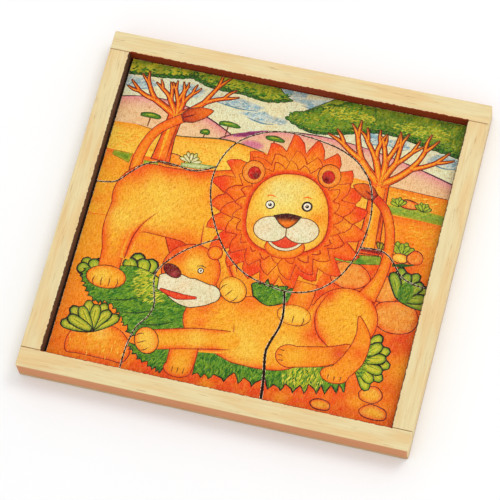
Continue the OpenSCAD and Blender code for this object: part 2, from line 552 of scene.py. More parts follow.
def crowns():
    crown([(-90, 71.2), (-67, 73), (-50, 76.4), (-44, 80)], [(-40, 90), (-90, 90)],
          rgb(208, 196, 36), 260, 20)
    crown([(-52, 76), (-42, 72.8), (-24, 72.4), (-14, 71), (-1.4, 74)],
          [(-8, 79), (-14, 90), (-52, 90)], rgb(176, 180, 34), 380, 26)
    crown([(-1.6, 64.6), (10, 60), (22, 61), (45, 66.8), (70, 64), (90, 61)],
          [(90, 75), (90, 90), (34, 90)], rgb(112, 140, 20), 720, 46)
    slope = loop([(-1, 65), (12, 62), (40, 68), (36, 84), (26, 79), (12, 72)])
    leaves = mottled(rim(DARK_LEAF, rgb(126, 150, 24), 2.6), LEAF, 3, 0.7)
    for share in np.linspace(0, 1, 15):
        place = (0.6 + 31 * share, 66.6 + 14 * share + random.uniform(-0.5, 0.5))
        paint(ring(place, random.uniform(1.4, 2.6), 0.7, 10), leaves, CROWN_LINE, 0.3)
    paint(slope, leaves)
    dabs(slope, (OLIVE, LEAF, MID_LEAF, DARK_LEAF), 300, (2.0, 0.6), 0.4, 0.9, margin=-1)
    for place in ((27, 73), (64, 72)):
        dabs(ring(place, 15, 0.25), (LIGHT_LEAF, rgb(206, 200, 60), OLIVE), 120, (2.0, 0.6), 0.3)


def branches(limbs, foot, angle, length, width, forks):
    """Adds a limb and those that fork from it, each thinner than the last."""
    way = np.array([math.cos(math.radians(angle)), math.sin(math.radians(angle))])
    tip = foot + way * length
    bow = np.array([-way[1], way[0]]) * length * random.uniform(-0.08, 0.08)
    limbs.append(([foot, (foot + tip) / 2 + bow, tip],
                  (width, 0.8 * width, (0.7 if forks else 0.15) * width)))
    for turn in forks[0] if forks else ():
        branches(limbs, tip - way * 0.4 * width, angle + turn + 0.12 * (90 - angle),
                 length * random.uniform(0.62, 0.8), 0.6 * width, forks[1:])


def tree(trunk, widths, boughs, middle):
    """A forked tree: all its edges are drawn first and all its bark after, so that the limbs join."""
    limbs = [(trunk, widths)]
    for angle, length, width in boughs:
        branches(limbs, np.array(trunk[-1]) - [0, 2], angle, length, width, ((-20, 17), (-16, 14)))
    bark_edge = rgb(104, 20, 14)
    bands = [band(points, *thick) for points, thick in limbs]
    for outline in bands:
        painted.append((grown(outline, 0.5), flat(bark_edge)))
    for outline, (points, thick) in zip(bands, limbs):
        bark = rim(rgb(236, 64, 10), middle, 0.46 * max(thick))
        if min(thick) < 0.6:
            bark = ramp(bark, rim(MAROON, UMBER, 0.5), points[-2], points[-1])
        paint(outline, mottled(bark, RUST, 1.6, 0.3))
    for points, thick in limbs:
        line = run(points)
        for offset, colour, width in ((0.1, GOLD, 0.22), (-0.28, UMBER, 0.14)):
            mark = (line + left_of(line) * offset * thick[0])[:: max(1, len(line) // 4)]
            draw(mark, colour, 0.1, width * np.mean(thick), 0.1)


def tuft(points, width):
    """The dark tuft at the end of a tail."""
    fill = ramp(rim(MAROON, rgb(196, 40, 20), 2), rim(RUST, ORANGE, 1.6), points[0], points[-1])
    paint(band(points, 0.5 * width, width, 0.8 * width, 0.05 * width), fill, BROWN, 0.45)
    draw(points[:2], MAROON, 0.3, 0.9, 0.2)


def paw(x, y, width, tall, degrees, fill, line=BROWN, toes=3):
    """A rounded paw with short toe lines at its front, which is down before it is turned."""
    lump = turned(ring((0, 0), 0.5 * width, tall / width, 18), (x, y), degrees)
    paint(lump, fill, line, 0.4)
    for place in np.linspace(-0.28, 0.28, toes) * width:
        toe = [(place, -0.02 * tall), (place * 1.15, -0.2 * tall), (place, -0.42 * tall)]
        draw(turned(toe, (x, y), degrees), BROWN, 0.2, 0.55, 0.25)


def crease(points, width, coat):
    """A soft dark fold in a coat, with a thin drawn line along it."""
    paint(band(points, 0.3 * width, width, width), soft(coat, RUST, 0.46 * width))
    draw(points, LINE, 0.2, 0.11 * width, 0.1 * width)


def standing_lion():
    """The standing lion's body and legs. Its head is on the head tile."""
    far_leg = band([(-36, -4), (-32, -16), (-30, -28)], 18, 14, 12)
    paint(far_leg, glow(flat(RUST), RED, (-36, -14), 12, 0.7), LINE, 0.4)
    rump = ring((-57, 9), 17.4, 1.02, 30)
    trunk = band([(-58, 9), (-34, 9.2), (-14, 9)], 34, 36.4, 52)
    thigh = band([(-64, 2), (-67, -10), (-66.4, -21), (-66, -31)], 20, 15, 10.6, 9.6)
    shoulder = band([(-16, 4), (-14.6, -10), (-11, -20), (-8, -27)], 22, 17, 12, 9)
    coat = lit(fur(GOLD, 10), 1, (YELLOW, (-50, 8), 22), (YELLOW, (-66, -4), 12))
    coat = lit(coat, 0.85, (RUST, (-66, 23), 13), (RUST, (-50, 28), 11), (RUST, (-36, 30), 12),
               (ORANGE, (-24, 18), 10), (ORANGE, (-32, -9), 11), (ORANGE, (-66, -28), 8),
               (GOLD, (-17, -2), 12), (ORANGE, (-56, -11), 8))
    figure((rump, trunk, thigh, shoulder), coat, marks=520)
    for fold in ([(-51, 2), (-55.6, -4), (-58.8, -12), (-60, -24)],
                 [(-27, 2), (-25.4, -10), (-20, -19), (-15, -27)], [(-12, -6), (-10, -16), (-5, -24)]):
        crease(fold, 5, coat)
    paw(-66, -35, 19, 11.4, 4, glow(rim(ORANGE, GOLD, 4), YELLOW, (-68, -35), 6), toes=4)


def spikes(centre, radius, tall, count, reach, start):
    """A ring of pointed, slightly swept tufts."""
    out = []
    width = 2 * math.pi / count
    tuft_side = ((0.0, 0.0), (0.22, 0.55), (0.48, 0.9), (0.66, 1.0), (0.76, 0.62), (0.88, 0.3))
    for i in range(count):
        long = reach * random.uniform(0.7, 1.3)
        for share, out_by in tuft_side:
            angle = start + i * width + share * width
            far = radius + long * out_by
            out.append((centre[0] + far * math.cos(angle), centre[1] + tall * far * math.sin(angle)))
    return np.array(out)


HEAD = (11, 16)  # middle of the standing lion's face
HEAD_TILT = 9  # degrees that it leans to the left


def mane():
    coat = rim(RUST, ORANGE, 5)
    for place, radius in (((4, 42), 13), ((15, 43), 9), ((-16, 30), 10), ((31, 38), 9), ((40, 16), 7),
                          ((12, -14), 9), ((34, -6), 7), ((-14, 6), 7)):
        coat = glow(coat, AMBER, place, radius, 0.95)
    for place, radius in (((-24, 38), 8), ((-25, 24), 9), ((-3, 52), 8), ((11, 55), 9), ((36, 46), 9),
                          ((46, 24), 8), ((-17, -2), 9), ((-8, -10), 9), ((42, -4), 9), ((27, -15), 10),
                          ((2, -16), 8), ((40, 32), 5)):
        coat = glow(coat, rgb(242, 58, 8), place, radius)
    for radius, count, reach, fill in (
        (31.5, 21, 7.5, mottled(coat, rgb(240, 64, 10), 4.2, 0.3)),
        (26, 19, 6, mottled(coat, ORANGE, 2.4, 0.4)),
        (22, 23, 4.2, glow(mottled(coat, AMBER, 2.4, 0.6), GOLD, (HEAD[0], HEAD[1] - 4), 26, 0.5)),
    ):
        tier = spikes(HEAD, radius, 1.02, count, reach, random.random())
        paint(tier, fill, MANE_LINE, 0.45)
        strokes(tier, fill, 200, (3.4, 0.7), 0, 0.24, spread=0.3, margin=1, centre=HEAD)


def eye(centre, radius):
    paint(ring(centre, radius), flat(rgb(252, 246, 226)), INK, 0.4 * radius)
    paint(ring(centre, radius * 0.52, 1, 10), flat(rgb(8, 4, 6)))
    paint(ring(np.array(centre) + [-0.15 * radius, 0.2 * radius], radius * 0.18, 1, 8), flat(CREAM))


def muzzle_fur():
    return mottled(rim(rgb(240, 222, 178), CREAM, 1.6), rgb(226, 226, 184), 4, 0.6)


def head():
    """A plain lion's head, built about its middle and then turned."""

    def put(points):
        return turned(points, HEAD, HEAD_TILT)

    def spot(x, y):
        return put([(x, y)])[0]

    mane()
    turn = np.linspace(0, 2 * math.pi, 40, endpoint=False)
    wide, high = np.cos(turn), np.sin(turn)
    skin = put(np.stack([(19.4 - 2.4 * high) * np.sign(wide) * np.abs(wide) ** 0.85,
                         20.4 * np.sign(high) * np.abs(high) ** 0.8], 1))
    paint(grown(skin, 2.6), rim(ORANGE, rgb(238, 60, 6), 1.9))
    light = lit(rim(AMBER, YELLOW, 5), 1, (PALE_YELLOW, (9, 21), 15), (rgb(242, 228, 140), (5, 26), 11))
    light = glow(light, rgb(242, 226, 130), (14, 29), 12, 0.8)
    light = lit(light, 1, (AMBER, (-3, 8), 8), (AMBER, (26, 16), 7))
    paint(skin, mottled(light, STRAW, 3, 0.35), rgb(176, 44, 10), 0.6)
    strokes(skin, light, 150, (2.8, 0.55), 1.5, 0.09, margin=2)
    for side in (-1, 1):
        paint(put(ring((side * 18.4, 20.6), 5.4, 1.1, 16)), rim(ORANGE, PEACH, 1.6), BROWN, 0.45)
        hollow = glow(flat(rgb(214, 34, 24)), rgb(110, 6, 16), spot(side * 17, 18.6), 3.6)
        paint(put(ring((side * 18, 20), 3, 1.1, 12)), hollow, MAROON, 0.3)
        eye(spot(side * 9, 4), 1.8)
        draw(put([(side * 11, 8.2), (side * 8.8, 9), (side * 6.4, 8.2)]), ORANGE, 0.3, 0.9, 0.3)
    chin = put(ring((0, -17.6), 9.4, 0.62, 20))
    paint(chin, rim(RUST, rgb(250, 150, 20), 2), MANE_LINE, 0.42)
    jaw = put(shape([(-11.4, -11), (-6, -17.4), (0, -19.4), (6, -17.4), (11.4, -11)]))
    paint(jaw, flat(CREAM), BROWN, 0.42)
    mouth = put(shape([(-10.6, -11), (-5.4, -16.2), (0, -18), (5.4, -16.2), (10.6, -11)]))
    paint(mouth, rim(RED, rgb(236, 70, 36), 1.2), BROWN, 0.25)
    cheeks = [put(ring((side * 7.4, -8.6), 8.2, 0.78, 24)) for side in (-1, 1)]
    figure(cheeks, muzzle_fur(), BROWN, 0.45)
    nose = put(shape([(-6.4, -1.6), (0, -0.4), (6.4, -1.6)], [(3.6, -5.4), (0, -7.6), (-3.6, -5.4)]))
    leather = ramp(flat(rgb(70, 6, 12)), rim(BROWN, ORANGE, 1), spot(0, -2.6), spot(0, -5))
    paint(nose, leather, INK, 0.35)
    draw(put([(0, -7.4), (0, -12.4)]), BROWN, 0.5, 0.5)


def lying_lion():
    """The lying lion's body and hind legs, with its tail up at the right."""
    tail = band([(58, -18), (62, -6), (62.8, 6), (60.8, 18), (56, 28), (48.6, 34)], 9, 5, 4.2, 4.2, 4, 3.6)
    hip = ring((50, -31), 16, 0.98, 30)
    barrel = band([(-16, -45), (4, -46.6), (22, -46), (42, -38)], 22, 34, 34, 24)
    chest = ring((-12, -45), 12.6, 0.98, 26)
    coat = lit(fur(GOLD, 7), 1, (YELLOW, (8, -54), 14), (YELLOW, (26, -50), 9))
    coat = lit(coat, 0.85, (GOLD, (47, -26), 14), (ORANGE, (34, -24), 10), (rgb(240, 60, 8), (40, -20), 8),
               (RUST, (38, -42), 11), (RUST, (-17, -38), 11), (ORANGE, (4, -32), 13),
               (ORANGE, (-16, -48), 8), (RUST, (27, -29), 9), (RUST, (62, -38), 7), (RED, (52, 33), 12))
    figure((hip, tail, barrel, chest), coat, marks=520, angle=0.5)
    tuft([(50, 33), (44.6, 35.8), (38.6, 37)], 7)
    crease([(0, -45), (0.8, -52), (-2, -58), (-14, -60.4)], 4, coat)
    crease([(40, -20), (36.4, -30), (39, -40), (46, -46)], 5, coat)
    skin = rim(ORANGE, AMBER, 3)
    foot = (band([(55, -46.6), (46, -51), (32, -54.4)], 7, 9.6, 10), ring((29.4, -54.6), 6.4, 0.86, 18),
            ring((55, -46.6), 3.7))
    figure(foot, glow(glow(skin, GOLD, (32, -54), 9), RED, (52, -48), 8, 0.8))
    hock = (band([(57, -28), (61, -38), (59.4, -49), (54, -58)], 0.4, 7, 9.6, 9),
            ring((52.4, -59), 6.6, 0.62, 18))
    figure(hock, lit(skin, 0.7, (GOLD, (51, -58), 5), (RUST, (61, -46), 7)))
    for x, y, lean in ((49.6, -59.4, 0), (52.6, -59.8, 0), (55.6, -59.4, 0), (26.4, -52.4, 1),
                       (26, -55, 1), (27, -57.4, 1)):
        draw([(x, y), (x - 2.4 * lean, y - 2.4 * (1 - lean))], BROWN, 0.6, 0.2)


def lying_lion_front():
    """The lying lion's arms and head, and the standing lion's front paws over it."""
    near_arm = (band([(-20, -60), (-20, -69), (-20.4, -73)], 13, 13, 12), ring((-20.6, -72.6), 6.6, 0.6, 18))
    figure(near_arm, glow(rim(RUST, AMBER, 4), GOLD, (-20, -70), 7))
    for x in (-23, -20.4, -17.6):
        draw([(x, -71.6), (x, -74.6)], BROWN, 0.2, 0.5, 0.2)
    arm = band([(0, -53.4), (-16, -56), (-36, -61)], 9, 10, 9.6)
    paint(arm, glow(glow(fur(GOLD, 5), GOLD, (0, -54), 9), YELLOW, (-16, -56), 9, 0.7), LINE, 0.42)
    paint(ring((0.6, -53.4), 4.6, 1.0, 14), soft(flat(GOLD), rgb(250, 176, 34), 2))
    paw(-38.6, -62, 13.4, 11, -60, rim(ORANGE, YELLOW, 4), INK)
    brow = glow(glow(rim(RUST, AMBER, 5), YELLOW, (-26, -20), 8), RUST, (-36, -16), 8)
    paint(ring((-27, -23), 14, 0.96, 30), brow, LINE, 0.42)
    paint(ring((-18, -11.6), 3.4, 1.0, 14), rim(RUST, AMBER, 1.6), LINE, 0.35)
    chops = band([(-40.6, -32), (-34, -31.6), (-26, -34), (-14, -33)], 7, 12.6, 14.6, 8)
    figure((chops, ring((-15.4, -32.6), 5.2, 0.86, 16)), muzzle_fur(), INK)
    mouth = band([(-39, -35.4), (-30, -37), (-21, -36)], 0.8, 3, 1)
    paint(mouth, rim(RED, rgb(240, 78, 34), 1.2), MAROON, 0.3)
    nose = turned(ring((0, 0), 4.7, 0.6, 18), (-35.6, -25), -24)
    paint(nose, glow(flat(MAROON), rgb(190, 70, 80), (-34.6, -26.4), 2.4), INK, 0.35)
    eye((-22.4, -22), 1.1)
    draw([(-24.6, -20.2), (-22.4, -19.4), (-20.2, -20.2)], INK, 0.2, 0.5, 0.2)
    coat = ramp(flat(rgb(240, 70, 8)), flat(rgb(250, 156, 26)), (22, -24), (28, -24))
    coat = ramp(coat, flat(rgb(242, 80, 8)), (29, -24), (34.4, -25))
    leg = band([(28.6, -17), (28, -25), (26.6, -33)], 10, 10.4, 10)
    paint(leg, mottled(coat, ORANGE, 2, 0.5), LINE, 0.3)
    paw(-5, -28, 14, 11.6, -36, rim(AMBER, YELLOW, 3))
    paw(26.6, -34.2, 16, 10, 0, rim(AMBER, YELLOW, 3))


def grass(outline, count, middle=LEAF, edge=GRASS_EDGE, angle=1.2, light=None, spread=0.45):
    """A clump of grass. Light is a place and radius where the sun catches it."""
    under = mottled(mottled(rim(edge, middle, 3), edge, 3.4, 0.6), rgb(124, 172, 30), 2.2, 0.7)
    if light is not None:
        under = glow(under, rgb(204, 204, 40), *light)
    paint(outline, under, INK, 0.5)
    dabs(outline, (edge, rgb(44, 116, 28)), count, (3.0, 0.8), angle, spread)
    dabs(outline, (rgb(128, 176, 36), LEAF, rgb(90, 152, 30)), count, (2.8, 0.5), angle, spread)
    if light is not None:
        place, radius = light
        dabs(ring(place, radius * 0.8), (rgb(226, 218, 70), rgb(190, 200, 40), LEAF), count // 3,
             (2.8, 0.55), angle, spread, within=outline)


def left_grass():
    spiky_plant((-52, -34), 13.6, 4, 60, 118, 6.4, (rgb(96, 146, 32), rgb(206, 206, 50)))
    spiky_plant((-73, -36), 9.6, 4, 70, 150, 5, (rgb(96, 146, 32), rgb(196, 200, 50)))
    over = [(-66, -30), (-54, -27), (-42, -30), (-28, -40), (-18, -42), (-20, -52), (-32, -56), (-46, -61)]
    under = [(-46.6, -62.6), (-54, -54), (-60, -49), (-69.6, -48), (-77, -39), (-78, -33)]
    grass(np.concatenate([shape(over), bristles(under, -1.8, 2.6)]), 420, angle=0.55,
          light=((-43, -33), 13))
    for x, y in ((-62, -46), (-54, -51), (-44, -55)):
        draw([(x, y), (x + 8, y + 1.6), (x + 16, y + 5)], rgb(24, 70, 24), 0.2, 0.9, 0.2)
    over = shape([(-47, -65), (-36, -66), (-22, -62)], [(-28.6, -76.4)])
    under = bristles([(-28.6, -76.4), (-40, -72), (-47.6, -66)], -1.6, 2.4)
    grass(np.concatenate([over, under]), 120, angle=0.9)


def bottom_grass():
    over = shape([(-13, -60), (8, -62), (32, -59), (52, -50)], [(57.6, -60), (58.6, -66.4)])
    under = bristles([(58.6, -66.4), (48, -69.4), (34, -71.4), (20, -72.4), (6, -73), (-6, -74), (-13, -74)],
                     -4.0, 5.4, 0.05)
    grass(np.concatenate([over, under]), 330, angle=1.45, light=((38, -64), 12))
    spiky_plant((60, -49), 16.4, 9, -58, 56, 4.8, (rgb(96, 146, 30), rgb(210, 210, 50)))
    dabs(ring((62.6, -48), 4.6, 2.4, 20), (GRASS_EDGE, LEAF, MOSS), 150, (3.0, 0.8), 0.2)


def chin_grass():
    over = bristles([(3.4, -23.6), (13, -22.6), (23.6, -23.6)], 2.6, 3.2)
    under = run([(22, -28), (13, -32), (5.4, -28.6)])
    grass(np.concatenate([over, under]), 90, rgb(50, 120, 24), spread=1.2)


def rocks():
    for x, y, width, tall in ((47.6, -9, 19, 14), (66.4, -12.6, 12.6, 14), (73.4, -25, 21, 17)):
        stone(x, y, width, tall)
    for x, y, width, tall in ((71.4, -65, 10.4, 8.4), (74.6, -73.2, 13, 7), (49.4, -74.8, 9, 5)):
        stone(x, y, width, tall, GOLD)
    coat = glow(glow(rim(RUST, AMBER, 4), GOLD, (-61, -66), 9), rgb(252, 206, 90), (-61, -63), 6, 0.8)
    boulder = uneven((-61, -69.6), 31, 23, 12, 0.04, -0.5)
    paint(boulder, mottled(coat, ORANGE, 1.6, 0.4), rgb(130, 24, 24), 0.42)
    dabs(boulder, (YELLOW, ORANGE, AMBER), 70, (2.6, 0.45), 1.5, 0.2)


def front_plants():
    spiky_plant((68.6, 6.4), 7.4, 6, 40, 130, 2.4)
    stone(69, 5, 7.4, 4.6, YELLOW, AMBER)
    stone(76, 6.6, 7.4, 7, ORANGE)
    paint(band([(66, 0.8), (71, 1.8), (76, 3)], 1.4, 1.8, 0.4), flat(DARK_LEAF))
    spiky_plant((58.6, 7.2), 4.4, 3, 60, 120, 1.5, (BROWN, OLIVE))
    verge = mottled(rim(LEAF, rgb(60, 134, 30), 1.4), rgb(190, 190, 50), 1.6, 0.6)
    paint(band([(38.6, -1.4), (49, 0), (60, 1.8)], 1.6, 4.4, 4), verge, rgb(40, 60, 20), 0.3)
    spiky_plant((72.8, -14.6), 15, 8, -8, 116, 4.4, (rgb(70, 124, 28), rgb(170, 186, 50)))
    heart = ring((75.4, -11.4), 3.8, 1.4, 16)
    paint(heart, mottled(flat(LEAF), rgb(44, 104, 24), 1.6, 0.9))
    dabs(heart, (MOSS, LEAF, rgb(60, 116, 26)), 60, (1.8, 0.5), 1.4)
    spiky_plant((-66, -62.6), 14.6, 9, 40, 178, 4.6, (rgb(84, 132, 30), rgb(210, 206, 56)))


def paint_picture():
    sky()
    hills()
    for x, top, width, trunk in ((-67, 53.2, 10, 4.4), (-38.8, 50.4, 4.6, 2), (-28.6, 56.8, 11, 6),
                                 (-4.6, 54.2, 9, 2)):
        far_tree(x, top, width, trunk)
    fields()
    roadside()
    crowns()
    tree([(-56.4, 29.6), (-56, 42), (-55, 56)], (9, 6.4, 7),
         ((152, 15, 3.4), (122, 10, 3), (97, 9, 2.8), (78, 9, 2.8), (40, 16, 3.2)), rgb(252, 140, 18))
    tree([(53, 4), (52, 22), (50.6, 42)], (10.6, 8.4, 8.4),
         ((137, 17.6, 4.4), (111, 14.6, 3.8), (90, 13.6, 3.8), (68, 14.4, 3.4), (42, 18, 3.8)),
         rgb(252, 166, 24))
    paint(band([(48.4, 5.8), (60.6, 5.8)], 2.4, 2.4), rim(RED, MAROON, 1.2))
    rocks()
    front_plants()
    coat = ramp(rim(RUST, AMBER, 2.4), rim(RUST, ORANGE, 2.4), (-67, 24), (-54, 52))
    paint(band([(-67, 18), (-67, 31), (-62, 44.6), (-50.4, 54.4)], 5.2, 4.8, 4.2, 4.4), coat,
          rgb(120, 30, 12), 0.42)
    tuft([(-51.6, 53.8), (-45.6, 57), (-38, 60.6)], 7.4)
    left_grass()
    bottom_grass()
    standing_lion()
    head()
    lying_lion()
    chin_grass()
    lying_lion_front()


# ---- tiles

GRID = 1.15  # spacing of the points that carry the soft shading
GRID_ROW = 0.87  # spacing of that grid's rows, as a share of the spacing along them
EDGE = 0.17  # width of the worn edge around a tile's face
EDGE_DROP = 0.12  # how far that edge falls
SNAP = 0.004  # points closer than this are one
LEVEL = 1e-6  # corners nearer in height than this, in metres, are level
TINY = 0.02  # an outline's shortest side


def outer_edge(sides):
    """The outer edge of a patch of faces, in order, from the directed sides of all its faces."""
    after = {a: b for a, b in sides if (b, a) not in sides}
    line = [min(after)]
    while after[line[-1]] != line[0]:
        line.append(after[line[-1]])
    return line


def tile_outline(node):
    """The CAD tile's outline from above, anticlockwise, in millimetres."""
    mesh = node.data
    top = max(v.co.z for v in mesh.vertices)
    sides = set()
    for polygon in mesh.polygons:
        corners = [mesh.vertices[i].co for i in polygon.vertices]
        if min(c.z for c in corners) >= top - LEVEL:
            keys = [(round(c.x / MM, 4), round(c.y / MM, 4)) for c in corners]
            sides.update(zip(keys, keys[1:] + keys[:1]))
    line = np.array(outer_edge(sides))
    return line[np.linalg.norm(line - np.roll(line, 1, 0), axis=1) > TINY]


def touches(outline, low, high):
    return (outline.max(0) > low).all() and (outline.min(0) < high).all()


def cut_face(outline, areas):
    """Points and triangles that fill the outline, cut along every area's own outline."""
    points = []
    edges = []
    for line in [outline] + [area[0] for area in areas]:
        first = len(points)
        points.extend(line)
        edges.extend((first + i, first + (i + 1) % len(line)) for i in range(len(line)))
    low, high = outline.min(0), outline.max(0)
    rows = np.arange(low[1], high[1], GRID * GRID_ROW)
    for i, y in enumerate(rows):
        columns = np.arange(low[0] + GRID * 0.5 * (i % 2), high[0], GRID)
        row = np.stack([columns, np.full(len(columns), y)], 1)
        points.extend(row[turns_round(row, outline) != 0])
    result = delaunay_2d_cdt([Vector(p) for p in points], edges, [], 0, SNAP, False)
    corners = np.array([p[:] for p in result[0]])
    # A face now and then has more than three corners, so each is split into a fan of triangles.
    triangles = np.array([(face[0], a, b) for face in result[2] for a, b in zip(face[1:], face[2:])])
    middles = corners[triangles].mean(1)
    return corners, triangles[turns_round(middles, outline) != 0]


def paint_face(corners, triangles, areas):
    """A colour for each corner of each triangle, from the frontmost area that it lies in."""
    middles = corners[triangles].mean(1)
    owner = np.zeros(len(triangles), int)
    for i, (outline, fill) in enumerate(areas):
        low, high = outline.min(0), outline.max(0)
        near = np.flatnonzero(((middles > low) & (middles < high)).all(1))
        owner[near[turns_round(middles[near], outline) != 0]] = i
    colours = np.zeros((len(triangles), 3, 3))
    for i in np.unique(owner):
        outline, fill = areas[i]
        mine = owner == i
        used, place = np.unique(triangles[mine], return_inverse=True)
        shades = fill(corners[used], depth_in(corners[used], outline))
        colours[mine] = shades[place.reshape(-1, 3)]
    return colours


def back_faces(outline, first):
    """Faces that fill a tile's lower outline, whose corners are numbered from first."""
    size = len(outline)
    sides = [(i, (i + 1) % size) for i in range(size)]
    result = delaunay_2d_cdt([Vector(p) for p in outline], sides, [], 0, SNAP, True)
    points, triangles, sources = result[0], result[2], result[3]
    middles = np.array([np.mean([points[k] for k in t], axis=0) for t in triangles])
    faces = []
    for triangle, inside in zip(triangles, turns_round(middles, outline) != 0):
        corners = [sources[k] for k in triangle]
        if inside and all(corners):
            faces.append([first + corner[0] for corner in reversed(corners)])
    return faces


def add_object(name, data):
    made = bpy.data.objects.new(name, data)
    bpy.context.scene.collection.objects.link(made)
    return made


def printed_tile(node_name, materials):
    """A tile with its printed face, worn edge, plywood sides and plain back."""
    node = frame["nodes"][node_name]
    low, high = (np.array(corner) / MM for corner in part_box(node_name))
    areas = [a for a in painted if touches(a[0], low[:2], high[:2])]
    corners, triangles = cut_face(grown(tile_outline(node), -EDGE), areas)
    colours = paint_face(corners, triangles, areas)
    used, place = np.unique(triangles, return_inverse=True)
    corners = corners[used]
    faces = place.reshape(-1, 3).tolist()
    rim_line = outer_edge({(t[k], t[(k + 1) % 3]) for t in faces for k in range(3)})
    outer = grown(corners[rim_line], EDGE)
    count = len(corners)
    size = len(rim_line)
    levels = ((corners, high[2]), (outer, high[2] - EDGE_DROP), (outer, low[2]))
    vertices = np.concatenate([np.c_[line, np.full(len(line), z)] for line, z in levels]) * MM
    kinds = [0] * len(faces)
    for i in range(size):
        k = (i + 1) % size
        faces.append([rim_line[i], count + i, count + k, rim_line[k]])
        faces.append([count + i, count + size + i, count + size + k, count + k])
        kinds += [1, 1]
    back = back_faces(outer, count + size)
    kinds += [2] * len(back)
    mesh = bpy.data.meshes.new(node_name + "_printed")
    mesh.from_pydata(vertices.tolist(), [], faces + back)
    mesh.polygons.foreach_set("material_index", kinds)
    layer = mesh.color_attributes.new("paint", "FLOAT_COLOR", "CORNER")
    values = np.ones((len(mesh.loops), 4))
    values[: colours.size // 3, :3] = colours.reshape(-1, 3)
    values[colours.size // 3 :, :3] = CREAM
    layer.data.foreach_set("color", values.ravel())
    mesh.update()
    for material in materials:
        mesh.materials.append(material)
    tile = add_object(node_name + "_printed", mesh)
    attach(tile, node["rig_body"])
    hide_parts(node_name)


# ---- materials


class Nodes:
    """Adds nodes to a material and wires them."""

    def __init__(self, name):
        self.material = bpy.data.materials.new(name)
        self.material.use_nodes = True
        self.tree = self.material.node_tree
        self.shader = self.tree.nodes["Principled BSDF"]

    def add(self, kind, inputs=None, **settings):
        node = self.tree.nodes.new(kind)
        for key, value in settings.items():
            setattr(node, key, value)
        for key, value in (inputs or {}).items():
            if isinstance(value, bpy.types.NodeSocket):
                self.tree.links.new(value, node.inputs[key])
            else:
                node.inputs[key].default_value = value
        return node

    def link(self, socket, name):
        self.tree.links.new(socket, self.shader.inputs[name])

    def math(self, operation, a, b=0.0):
        return self.add("ShaderNodeMath", {0: a, 1: b}, operation=operation).outputs[0]

    def mix(self, share, a, b, blend="MIX"):
        node = self.add("ShaderNodeMix", data_type="RGBA", blend_type=blend)
        for name, value in (("Factor", share), ("A", a), ("B", b)):
            socket = [s for s in node.inputs if s.name == name and s.enabled][0]
            if isinstance(value, bpy.types.NodeSocket):
                self.tree.links.new(value, socket)
            elif name == "Factor":
                socket.default_value = value
            else:
                socket.default_value = (*value, 1)
        return [s for s in node.outputs if s.enabled][0]

    def place(self, scale):
        """Object coordinates in millimetres, stretched by scale."""
        where = self.add("ShaderNodeTexCoord").outputs["Object"]
        return self.add("ShaderNodeMapping", {"Vector": where, "Scale": [s / MM for s in scale]}).outputs[0]

    def noise(self, scale, detail=3.0, roughness=0.6):
        inputs = {"Vector": self.place(scale), "Scale": 1.0, "Detail": detail, "Roughness": roughness}
        return self.add("ShaderNodeTexNoise", inputs).outputs["Fac"]

    def remap(self, value, low, high, to_low=0.0, to_high=1.0):
        inputs = {"Value": value, "From Min": low, "From Max": high, "To Min": to_low, "To Max": to_high}
        return self.add("ShaderNodeMapRange", inputs).outputs[0]

    def finish(self, colour, grain, smoothest=0.6, roughest=0.8, relief=None):
        """Wires the colour, a roughness that follows the grain and, if given, a bump of this strength
        and distance."""
        self.link(colour, "Base Color")
        self.link(self.remap(grain, 0.3, 0.7, smoothest, roughest), "Roughness")
        if relief:
            inputs = {"Strength": relief[0], "Distance": relief[1], "Height": grain}
            self.link(self.add("ShaderNodeBump", inputs).outputs[0], "Normal")
        return self.material


def print_material():
    """Printing ink straight on the wood: its fibres show as fine dark and pale strokes both ways."""
    n = Nodes("printed_picture")
    colour = n.add("ShaderNodeVertexColor", layer_name="paint").outputs["Color"]
    fibre = n.noise((2.1, 0.42, 1), 4, 0.7)
    cross = n.noise((0.6, 2.2, 1), 3, 0.65)
    pits = n.noise((1.5, 1.1, 1), 2, 0.6)
    broad = n.noise((0.09, 0.09, 1), 2, 0.5)
    for pattern, start, end, strength, tint, blend in (
        (fibre, 0.5, 0.64, 0.8, rgb(214, 186, 150), "MULTIPLY"),
        (cross, 0.51, 0.65, 0.7, rgb(222, 192, 150), "MULTIPLY"),
        (fibre, 0.48, 0.36, 0.7, rgb(104, 98, 76), "SCREEN"),
        (cross, 0.47, 0.35, 0.5, rgb(104, 96, 70), "SCREEN"),
        (pits, 0.64, 0.73, 0.5, rgb(150, 110, 76), "MULTIPLY"),
        (broad, 0.4, 0.65, 0.2, rgb(255, 196, 130), "MULTIPLY"),
    ):
        colour = n.mix(n.remap(pattern, start, end, 0.0, strength), colour, tint, blend)
    n.shader.inputs["Specular IOR Level"].default_value = 0.12
    return n.finish(colour, fibre, 0.5, 0.7, (0.2, 0.1 * MM))


CORE = (0.32, 0.68)  # where the middle ply starts and ends, as shares of the tile's thickness
CHIPPED = 0.955  # where the chipped upper edge starts


